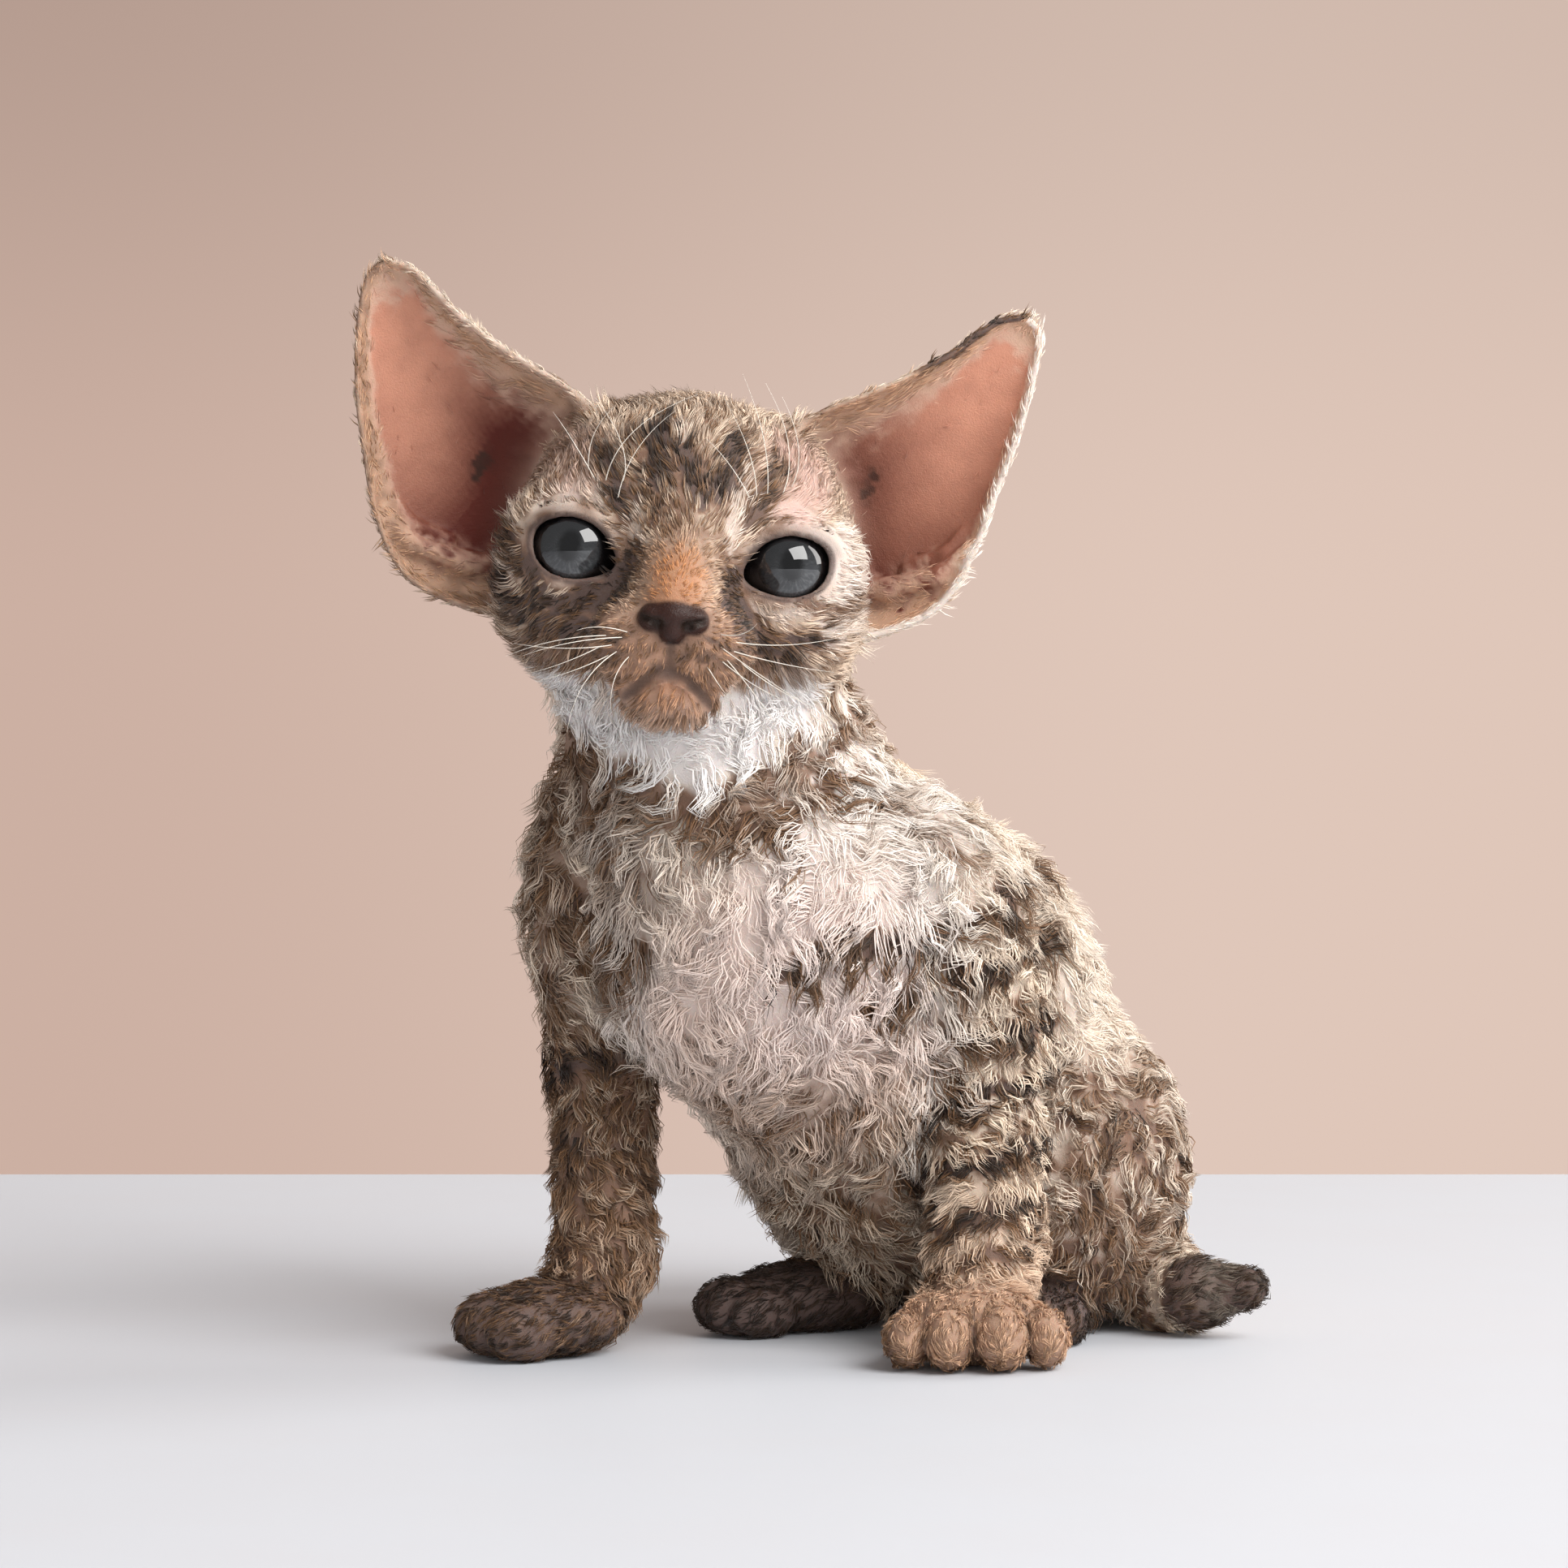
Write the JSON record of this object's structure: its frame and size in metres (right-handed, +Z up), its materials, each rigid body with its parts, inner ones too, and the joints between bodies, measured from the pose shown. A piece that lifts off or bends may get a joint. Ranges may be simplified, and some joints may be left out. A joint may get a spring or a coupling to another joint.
{
  "type": "sitting devon rex kitten",
  "caption": "Life-size still model of a sitting short-coated curly kitten with wide cupped ears, resting on its haunches and feet.",
  "frame": {"origin": "on the floor under the middle of the whole kitten's box", "axes": "+Z up, -Y the way the face looks, +X towards the kitten's left"},
  "size_m": [0.1444, 0.1176, 0.1717],
  "materials": {
    "face_coat": "short close fur",
    "body_coat": "soft curly fur",
    "leg_coat": "short wavy fur",
    "tail_coat": "short fur, ringed",
    "ear_skin": "thin soft skin, downy",
    "eyes": "wet gloss"
  },
  "bodies": {
    "root": {"head": "face_coat", "ear_left": "ear_skin", "ear_right": "ear_skin", "eye_left": "eyes", "eye_right": "eyes", "neck": "body_coat", "torso": "body_coat", "foreleg_left": "leg_coat", "foreleg_right": "leg_coat", "hindleg_left": "leg_coat", "hindleg_right": "leg_coat", "tail": "tail_coat"}
  },
  "joints": []
}
